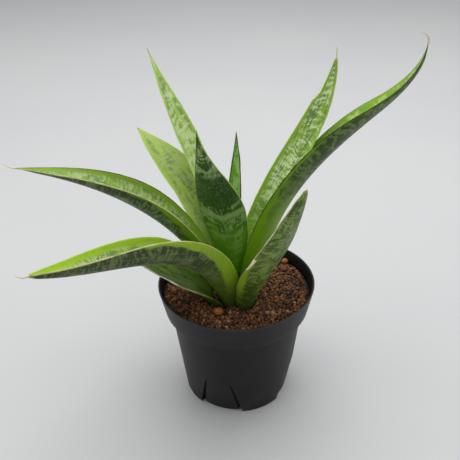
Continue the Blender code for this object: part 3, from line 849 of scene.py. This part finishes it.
def pot_sheet():
    """The pot's outside as one sheet without thickness, with its slits left out."""
    columns = [(slit, column) for slit in range(SLITS) for column in range(PANEL_COLUMNS + 1)]
    points = [sheet_point(*column, *row) for row in outline[1:] for column in columns]
    count = len(columns)
    faces = [(count * len(outline[1:]), (i + 1) % count, i) for i in range(count)]
    for row, (radius, height) in enumerate(outline[1:-1]):
        in_slit = FOOT_RADIUS - SLIT_REACH <= radius + NEAR and height < SLIT_HEIGHT - NEAR
        for i, (slit, column) in enumerate(columns):
            if not (in_slit and column == 0):
                j = (i + 1) % count
                faces.append((row * count + i, row * count + j, (row + 1) * count + j, (row + 1) * count + i))
    mesh = bpy.data.meshes.new("pot_sheet")
    mesh.from_pydata([*points, (0, 0, 0)], [], faces)
    return mesh


sheet = bpy.data.objects.new("pot_sheet", pot_sheet())
scene.collection.objects.link(sheet)
wall = sheet.modifiers.new("wall", "SOLIDIFY")
wall.thickness = WALL
wall.offset = -1
wall.use_even_offset = True
edges = sheet.modifiers.new("edges", "BEVEL")
edges.width = 0.3 * MM
edges.segments = 2
edges.limit_method = "ANGLE"
edges.angle_limit = math.radians(50)
bpy.context.view_layer.update()
graph = bpy.context.evaluated_depsgraph_get()
pot_mesh = bpy.data.meshes.new_from_object(sheet.evaluated_get(graph))
bpy.data.objects.remove(sheet)
face_out(pot_mesh)
pot_mesh.set_sharp_from_angle(angle=math.radians(40))
print("pot:", len(pot_mesh.polygons), "faces")

# %% [markdown]
# The plastic is black with carbon, a little dusty, and has the fine satin grain of
# the mould. Its roughness is lower on a band round the top of the rim, and that band
# is also painted paler, as a painted highlight.

# %% Mould the plastic
pot_finish, shader, wire = new_finish("black_nursery_plastic")
place = wire.node("TexCoord", output="Object")
x, y, z = place.parts()
dust = wire.cloud(place, 45.0, 4.0, 0.6)
streaks = wire.cloud(wire.vector(x * 60.0, y * 60.0, z * 14.0), 1.0, 3.0)
grain = wire.cloud(place, 2600.0, 2.0)
# painted highlight: a band round the top of the rim is painted paler, and its roughness is lower
rim_gloss_and_painted_highlight = z.step(0.0955, 0.0975)
low_dust = z.step(0.03, 0.0) * dust.step(0.4, 0.7)
# paler for dust, and paler round the rim as a painted highlight
paler_by_dust_and_painted_highlight = dust.step(0.45, 0.8) * 0.4 + low_dust * 0.5 + rim_gloss_and_painted_highlight * 0.6
wire.feed(shader.inputs["Base Color"], paler_by_dust_and_painted_highlight.blend(colour(17, 17, 17), colour(46, 45, 42)))
wire.feed(shader.inputs["Roughness"], dust * 0.12 + streaks * 0.1 + 0.38 - rim_gloss_and_painted_highlight * 0.08)
emboss(wire, shader, grain * 0.6 + streaks * 0.8, 0.22, 0.3 * MM)
shader.inputs["Specular IOR Level"].default_value = 0.3
add_piece("pot", pot_mesh, pot_finish, ["nursery_pot"])

# %% [markdown]
# ## The soil
# The mix is baked clay: hard brown lumps about three millimetres across. A bed fills
# the pot, painted dark as painted shade for the gaps between the lumps, and two layers
# of lumps lie on it. Thousands of loose lumps are just what Geometry Nodes are for:
# points are scattered a fair distance apart, any that would fall inside a leaf are
# dropped, and one of a few low lumps is set on each.

# %% Make the bed of soil
SOIL_EDGE, SOIL_DOME, SOIL_GAP = 89.5 * MM, 1.2 * MM, 0.5 * MM
FLOOR_TOP = 1.6 * MM
BED_DROP = 1.5 * MM  # the bed lies under the lumps by this much
BED_SIDES = 96
BED_WAVE = 0.5 * MM


def soil_top(radius):
    """The height of the soil's domed top, at a distance from the middle."""
    share = radius / (collar_radius(SOIL_EDGE) - WALL - SOIL_GAP)
    return SOIL_EDGE + SOIL_DOME * (1 - share * share)


def bed_mesh():
    """The soil under the lumps: it follows the pot's wall down, and its top is a little uneven."""
    inside = WALL + SOIL_GAP
    edge = collar_radius(SOIL_EDGE) - inside
    ledge = SHOULDER + WALL + GAP
    rows = [(edge * share, soil_top(edge * share) - BED_DROP) for share in np.linspace(0.04, 1, 22)]
    rows += [(collar_radius(ledge) - inside, ledge), (body_radius(ledge) - inside, ledge)]
    rows += [(body_radius(SLIT_HEIGHT) - inside, SLIT_HEIGHT)]
    rows += [(body_radius(FLOOR_TOP) - inside - PANEL_RECESS, FLOOR_TOP + GAP)]
    rings = []
    for radius, height in rows:
        ring = []
        for side in range(BED_SIDES):
            angle = math.tau * side / BED_SIDES
            point = Vector((radius * math.cos(angle), radius * math.sin(angle), height))
            if height > SOIL_EDGE - BED_DROP - MM and radius < edge - MM:
                point.z += BED_WAVE * noise.noise(point * 160)
            ring.append(point)
        rings.append(ring)
    mesh = swept_mesh("soil_bed", np.array(rings), (0, 0, FLOOR_TOP + GAP))
    return face_out(mesh)


soil_bed_mesh = bed_mesh()
print("bed:", len(soil_bed_mesh.polygons), "faces, top at", round(soil_top(0) * 1000, 1), "mm")


# %% Shape a few clay lumps
LUMP_KINDS = 6


def clay_lump(kind):
    """A low ball whose sides are pressed flat here and there, about one unit across."""
    mesh = bpy.data.meshes.new(f"clay_lump_{kind}")
    work = bmesh.new()
    bmesh.ops.create_uvsphere(work, u_segments=7, v_segments=5, radius=0.5)
    rng = np.random.default_rng(40 + kind)
    flats = unit_rows(rng.normal(size=(9, 3)))
    depths = rng.uniform(0.30, 0.46, 9)
    stretch = rng.uniform(0.8, 1.15, 3)
    for vertex in work.verts:
        point = np.array(vertex.co)
        for flat, depth in zip(flats, depths):
            over = point @ flat - depth
            if over > 0:
                point = point - flat * over
        vertex.co = Vector(point * stretch)
    work.to_mesh(mesh)
    work.free()
    mesh.shade_smooth()
    mesh.set_sharp_from_angle(angle=math.radians(50))
    return bpy.data.objects.new(mesh.name, mesh)


lumps = bpy.data.collections.new("clay_lumps")
for kind in range(LUMP_KINDS):
    lumps.objects.link(clay_lump(kind))

# %% [markdown]
# The lumps' material reads a number that each lump is given when it is scattered, so
# that every lump has one colour of its own: most are red-brown, some dark and damp,
# and a few are orange or pale.

# %% Bake the clay
clay_finish, shader, wire = new_finish("baked_clay")
own = wire.node("Attribute", output="Fac", attribute_name="lump")
stops = (
    (0.0, colour(56, 38, 26)), (0.25, colour(96, 62, 38)), (0.6, colour(122, 80, 48)),
    (0.88, colour(144, 96, 56)), (0.975, colour(172, 108, 54)), (1.0, colour(176, 148, 112)),
)
body = own.node("ValToRGB", {"Fac": own}, stops=stops)
place = wire.node("TexCoord", output="Object")
mottle = wire.cloud(place, 900.0, 4.0, 0.65)
wire.feed(shader.inputs["Base Color"], (mottle.step(0.4, 0.8) * 0.7).blend(body, colour(58, 38, 24)))
wire.feed(shader.inputs["Roughness"], mottle * 0.2 + 0.75)
emboss(wire, shader, mottle, 0.6, 0.5 * MM)

bed_finish, shader, wire = new_finish("damp_clay_bed")
place = wire.node("TexCoord", output="Object")
mottle = wire.cloud(place, 420.0, 4.0, 0.6)
# painted shade: the bed is painted much darker than the lumps, for the shade in the gaps between them
wire.feed(shader.inputs["Base Color"], mottle.step(0.35, 0.7).blend(colour(24, 15, 10), colour(66, 40, 25)))
wire.feed(shader.inputs["Roughness"], mottle * 0.15 + 0.8)
emboss(wire, shader, mottle, 1.0, 1.2 * MM)
add_piece("soil_bed", soil_bed_mesh, bed_finish)

# %% Scatter the lumps with Geometry Nodes
GRAIN_REACH = 54.3 * MM  # how far out the lumps' middles lie
HEIGHT_SPREAD = 0.5 * MM  # how far a lump may lie above or below its layer
FULL_TURN = 6.28
MOST_LUMPS = 900000.0  # to a square metre, before the spacing thins them
GRAIN_INPUTS = {
    "Spacing": "Float", "Lift": "Float", "Seed": "Int", "Smallest": "Float", "Largest": "Float",
    "Leaves": "Object", "Clearance": "Float", "Lumps": "Collection", "Finish": "Material",
}


def new_tree(name, inputs):
    """A Geometry Nodes tree with a geometry going in and out, and these named inputs."""
    tree = bpy.data.node_groups.new(name, "GeometryNodeTree")
    tree.interface.new_socket("Geometry", in_out="INPUT", socket_type="NodeSocketGeometry")
    tree.interface.new_socket("Geometry", in_out="OUTPUT", socket_type="NodeSocketGeometry")
    for label, kind in inputs.items():
        tree.interface.new_socket(label, in_out="INPUT", socket_type="NodeSocket" + kind)
    return tree


def step_in(tree, kind, inputs=None, **settings):
    """Adds a node: its settings first, then the values and links of its sockets."""
    made = tree.nodes.new(kind)
    for setting, value in settings.items():
        setattr(made, setting, value)
    for label, value in (inputs or {}).items():
        if isinstance(value, bpy.types.NodeSocket):
            tree.links.new(value, made.inputs[label])
        else:
            made.inputs[label].default_value = value
    return made


def random_in(tree, low, high, seed):
    """A random number between two others, different for each point."""
    sockets = {2: low, 3: high, "Seed": seed}
    return step_in(tree, "FunctionNodeRandomValue", sockets, data_type="FLOAT").outputs[1]


def grain_tree():
    """Points on the ground, without those by a leaf, each with a lump of its own size and turn."""
    tree = new_tree("scatter_clay_lumps", GRAIN_INPUTS)
    given = tree.nodes.new("NodeGroupInput").outputs
    points = step_in(
        tree, "GeometryNodeDistributePointsOnFaces",
        {
            "Mesh": given["Geometry"], "Distance Min": given["Spacing"],
            "Density Max": MOST_LUMPS, "Seed": given["Seed"],
        },
        distribute_method="POISSON",
    )
    leaves = step_in(tree, "GeometryNodeObjectInfo", {"Object": given["Leaves"]})
    near = step_in(
        tree, "GeometryNodeProximity", {0: leaves.outputs["Geometry"]}, target_element="FACES"
    )
    too_near = step_in(
        tree, "FunctionNodeCompare",
        {0: near.outputs["Distance"], 1: given["Clearance"]}, operation="LESS_THAN",
    )
    kept = step_in(
        tree, "GeometryNodeDeleteGeometry",
        {"Geometry": points.outputs["Points"], "Selection": too_near.outputs[0]}, domain="POINT",
    )
    height = random_in(tree, -HEIGHT_SPREAD, HEIGHT_SPREAD, given["Seed"])
    raised = step_in(tree, "ShaderNodeMath", {0: height, 1: given["Lift"]}, operation="ADD")
    offset = step_in(tree, "ShaderNodeCombineXYZ", {"Z": raised.outputs[0]})
    lifted = step_in(
        tree, "GeometryNodeSetPosition",
        {"Geometry": kept.outputs[0], "Offset": offset.outputs[0]},
    )
    turn = step_in(
        tree, "FunctionNodeRandomValue",
        {0: (0, 0, 0), 1: (FULL_TURN, FULL_TURN, FULL_TURN), "Seed": given["Seed"]},
        data_type="FLOAT_VECTOR",
    )
    kinds = step_in(
        tree, "GeometryNodeCollectionInfo",
        {"Collection": given["Lumps"], "Separate Children": True, "Reset Children": True},
    )
    placed = step_in(
        tree, "GeometryNodeInstanceOnPoints",
        {
            "Points": lifted.outputs[0], "Instance": kinds.outputs[0], "Pick Instance": True,
            "Rotation": turn.outputs[0],
            "Scale": random_in(tree, given["Smallest"], given["Largest"], 3),
        },
    )
    marked = step_in(
        tree, "GeometryNodeStoreNamedAttribute",
        {"Geometry": placed.outputs[0], "Name": "lump", "Value": random_in(tree, 0.0, 1.0, 8)},
        data_type="FLOAT", domain="INSTANCE",
    )
    real = step_in(tree, "GeometryNodeRealizeInstances", {0: marked.outputs[0]})
    clad = step_in(
        tree, "GeometryNodeSetMaterial", {"Geometry": real.outputs[0], "Material": given["Finish"]}
    )
    tree.links.new(clad.outputs[0], tree.nodes.new("NodeGroupOutput").inputs[0])
    return tree


scatter = grain_tree()
print("scatter tree:", len(scatter.nodes), "nodes")


# %% Lay two layers of lumps
def disc_mesh(reach):
    """The soil's top as a plain dished disc, to scatter on."""
    work = bmesh.new()
    bmesh.ops.create_circle(work, cap_ends=True, cap_tris=True, segments=64, radius=reach)
    bmesh.ops.subdivide_edges(work, edges=work.edges, cuts=5, use_grid_fill=True)
    for vertex in work.verts:
        vertex.co.z = soil_top(vertex.co.xy.length)
    mesh = bpy.data.meshes.new("soil_top")
    work.to_mesh(mesh)
    work.free()
    return mesh


def joined(meshes, name):
    """One mesh that holds copies of several."""
    work = bmesh.new()
    for mesh in meshes:
        work.from_mesh(mesh)
    whole = bpy.data.meshes.new(name)
    work.to_mesh(whole)
    work.free()
    return whole


leaves_in_one = joined([mesh for mesh, tip in leaf_meshes.values()], "all_leaves")
all_leaves = bpy.data.objects.new("all_leaves", leaves_in_one)
scene.collection.objects.link(all_leaves)


def lay_lumps(spacing, lift, seed, smallest, largest, clearance):
    """One layer of lumps over the soil's top, as a plain mesh."""
    ground = bpy.data.objects.new("ground", disc_mesh(GRAIN_REACH))
    scene.collection.objects.link(ground)
    spread = ground.modifiers.new("scatter", "NODES")
    spread.node_group = scatter
    values = {
        "Spacing": spacing, "Lift": lift, "Seed": seed, "Smallest": smallest, "Largest": largest,
        "Leaves": all_leaves, "Clearance": clearance, "Lumps": lumps, "Finish": clay_finish,
    }
    for socket in scatter.interface.items_tree:
        if socket.name in values:
            spread[socket.identifier] = values[socket.name]
    bpy.context.view_layer.update()
    graph = bpy.context.evaluated_depsgraph_get()
    mesh = bpy.data.meshes.new_from_object(ground.evaluated_get(graph))
    bpy.data.objects.remove(ground)
    return mesh


layers = [
    lay_lumps(2.25 * MM, -0.2 * MM, 11, 2.6 * MM, 3.9 * MM, 1.3 * MM),
    lay_lumps(2.35 * MM, -1.6 * MM, 12, 2.6 * MM, 3.6 * MM, 0.6 * MM),
]
add_piece("clay_lumps_layer", joined(layers, "clay_lumps_layer"), clay_finish, ["soil"])
bpy.data.objects.remove(all_leaves)
faces_of_one = len(lumps.objects[0].data.polygons)
print("lumps:", [len(layer.polygons) // faces_of_one for layer in layers])

# %% [markdown]
# Four lumps are larger than the rest and lie loose on top. Each is a ball that soft
# noise has pushed about, and the orange ones have baked harder than the others.

# %% Place the loose lumps
PEBBLES = ["pebble_orange_front", "pebble_orange_back", "pebble_brown_right", "pebble_dark_front"]


def pebble_finish(name, low, high):
    """Pitted clay that is mottled between two colours."""
    finish, shader, wire = new_finish(name)
    place = wire.node("TexCoord", output="Object")
    mottle = wire.cloud(place, 700.0, 5.0, 0.65)
    wire.feed(shader.inputs["Base Color"], mottle.step(0.3, 0.7).blend(low, high))
    wire.feed(shader.inputs["Roughness"], mottle * 0.2 + 0.7)
    emboss(wire, shader, mottle, 0.7, 0.6 * MM)
    return finish


def pebble_mesh(name):
    """A pitted lump that fills the box of its CAD solid."""
    low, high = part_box(name)
    middle, half = (low + high) / 2, (high - low) / 2
    work = bmesh.new()
    bmesh.ops.create_icosphere(work, subdivisions=5, radius=1)
    for vertex in work.verts:
        bump = noise.noise(vertex.co * 1.1 + middle * 200)
        fine = noise.noise(vertex.co * 4.0 + middle * 300)
        x, y, z = vertex.co * (0.98 + 0.12 * bump + 0.06 * fine)
        vertex.co = Vector((x * half.x, y * half.y, z * half.z)) + middle
    mesh = bpy.data.meshes.new(name)
    work.to_mesh(mesh)
    work.free()
    return face_out(mesh)


orange_clay = pebble_finish("orange_clay", colour(128, 66, 26), colour(204, 122, 52))
brown_clay = pebble_finish("brown_clay", colour(58, 36, 24), colour(112, 68, 42))
for name in PEBBLES:
    title = name.removeprefix("pebble_") + "_pebble"
    finish, slot = brown_clay, "clay_granules"
    if "orange" in name:
        finish, slot = orange_clay, "orange_clay"
    add_piece(title, pebble_mesh(name), finish, [name])
print(len(PEBBLES), "loose lumps")

# %% [markdown]
# ## Dry scale and dry tips
# At the foot of the crown stands the dry scale of an old bud: a flat, pointed case
# with ribs that run up it. The longest leaves end in a dead thread, which curls as it
# dries. A thread is a thin tapering tube swept along a bent line.

# %% Shape the dry scale and the threads
dry_finish, shader, wire = new_finish("dry_leaf_tissue")
place = wire.node("TexCoord", output="Object")
x, y, z = place.parts()
fibre = wire.cloud(wire.vector(x * 1400.0, y * 1400.0, z * 260.0), 1.0, 3.0)
wire.feed(shader.inputs["Base Color"], fibre.blend(colour(206, 192, 160), colour(236, 228, 206)))
wire.feed(shader.inputs["Roughness"], fibre * 0.2 + 0.6)
emboss(wire, shader, fibre, 0.5, 0.2 * MM)

scale_finish, shader, wire = new_finish("dry_bud_scale")
place = wire.node("TexCoord", output="Object")
x, y, z = place.parts()
fibre = wire.cloud(wire.vector(x * 1500.0, y * 1500.0, z * 240.0), 1.0, 4.0)
wire.feed(shader.inputs["Base Color"], fibre.step(0.3, 0.7).blend(colour(30, 34, 16), colour(86, 78, 42)))
wire.feed(shader.inputs["Roughness"], fibre * 0.2 + 0.65)
emboss(wire, shader, fibre, 0.6, 0.4 * MM)

SHEATH_BEARING, SHEATH_LEAN = math.radians(-96), math.radians(14)
SHEATH_REACH = 4.3 * RING_PITCH
SHEATH_HALF_THICKNESS, SHEATH_HALF_WIDTH, SHEATH_HEIGHT = 1.6 * MM, 2.5 * MM, 9 * MM
SHEATH_RIBS = 11


def sheath_mesh():
    """A ball drawn out to a flat point, with ribs that die away upwards."""
    turn = Matrix.Rotation(SHEATH_BEARING, 3, "Z") @ Matrix.Rotation(SHEATH_LEAN, 3, "Y")
    foot = Vector((math.cos(SHEATH_BEARING), math.sin(SHEATH_BEARING), 0)) * SHEATH_REACH
    foot.y += CROWN_Y
    work = bmesh.new()
    bmesh.ops.create_uvsphere(work, u_segments=48, v_segments=36, radius=1)
    for vertex in work.verts:
        up = (vertex.co.z + 1) / 2
        slim = 1 - 0.35 * up * up
        rib = 1 + 0.05 * math.sin(SHEATH_RIBS * math.atan2(vertex.co.y, vertex.co.x)) * (1 - up)
        x = vertex.co.x * SHEATH_HALF_THICKNESS * slim * rib
        y = vertex.co.y * SHEATH_HALF_WIDTH * slim * rib
        vertex.co = turn @ Vector((x, y, up * SHEATH_HEIGHT)) + foot
    low = min(vertex.co.z for vertex in work.verts)
    bmesh.ops.translate(work, verts=work.verts, vec=(0, 0, CROWN_TOP + GAP - low))
    mesh = bpy.data.meshes.new("dry_scale")
    work.to_mesh(mesh)
    work.free()
    return face_out(mesh)


add_piece("bud_scale", sheath_mesh(), scale_finish, ["dry_sheath"])

THREAD_END = 0.08 * MM  # half its thickness at the loose end
THREADS = {  # leaf: thickness at the root, then the bends from the leaf's tip, all in mm
    "leaf_right_long": (
        1.5, [(-0.2, 0, -2.0), (0.2, 0, 1.4), (-1.0, 0, 3.8), (-3.2, 0, 5.2), (-6.2, 0.5, 5.4)]
    ),
    "leaf_left_arched": (0.8, [(1.5, 0.2, -0.4), (-1.8, 0, 0.6), (-4.0, 0, 2.0), (-6.8, 0.5, 3.2)]),
    "leaf_right_upright": (0.8, [(0, 0, -1.5), (0.1, 0, 2.2), (-0.3, 0, 5.4)]),
    "leaf_left_low": (1.1, [(1.5, 0.8, 0.3), (-1.6, -0.5, -0.2), (-3.8, -0.8, 0.6), (-6.0, -0.5, 1.6)]),
}


def thread_mesh(name, start, thickness, bends, steps=40, around=8):
    """A tapering tube along a smooth line through the bends."""
    knots = np.array(bends) * MM + np.array(start)
    places = np.linspace(0, len(knots) - 1, steps)
    line = np.stack([np.interp(places, range(len(knots)), knots[:, axis]) for axis in range(3)], 1)
    for _ in range(12):
        line[1:-1] = (line[:-2] + 2 * line[1:-1] + line[2:]) / 4
    ahead = unit_rows(np.gradient(line, axis=0))
    aside = unit_rows(np.cross(ahead, [0.3, 1.0, 0.2]))
    other = np.cross(ahead, aside)
    size = thickness / 2 * MM * (1 - np.linspace(0, 1, steps)) ** 0.7 + THREAD_END
    rings = []
    for angle in np.linspace(0, math.tau, around, endpoint=False):
        rings.append(line + (aside * math.cos(angle) + other * math.sin(angle)) * size[:, None])
    return face_out(swept_mesh(name, np.stack(rings, 1), line[-1]))


for name, (thickness, bends) in THREADS.items():
    title = name.removeprefix("leaf_") + "_thread"
    mesh = thread_mesh(title, leaf_meshes[name][1], thickness, bends)
    add_piece(title, mesh, dry_finish)
print(len(THREADS), "dry threads")

# %% [markdown]
# ## The rhizome
# The leaves stand on a short thick stem that lies under the soil. Its CAD solid
# already has the right shape, so it stays and only gets a skin: pale brown, corky,
# and ringed where old leaves were.

# %% Give the rhizome its skin
root_finish, shader, wire = new_finish("corky_rhizome")
place = wire.node("TexCoord", output="Object")
x, y, z = place.parts()
cork = wire.cloud(place, 240.0, 4.0, 0.6)
rings = ((z + cork * 0.002) * 2600.0).maths("SINE") * 0.5 + 0.5
pale = cork * 0.7 + rings * 0.3
wire.feed(shader.inputs["Base Color"], pale.blend(colour(142, 92, 50), colour(206, 160, 98)))
wire.feed(shader.inputs["Roughness"], cork * 0.2 + 0.6)
emboss(wire, shader, cork + rings * 0.4, 0.6, 0.6 * MM)
rhizome = frame["nodes"]["rhizome"]
rhizome.data.materials.clear()
rhizome.data.materials.append(root_finish)

# %% [markdown]
# ## Finish
# The two boxes are kept side by side, so that anyone can see that dressing the
# plant hasn't changed its size.

# %% Measure and finish
bpy.context.view_layer.update()
made_box = [list(corner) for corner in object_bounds()]
grown = [[round((b - a) * 1000, 1) for a, b in zip(*pair)] for pair in zip(cad_box, made_box)]
print("box moved by, mm:", grown)
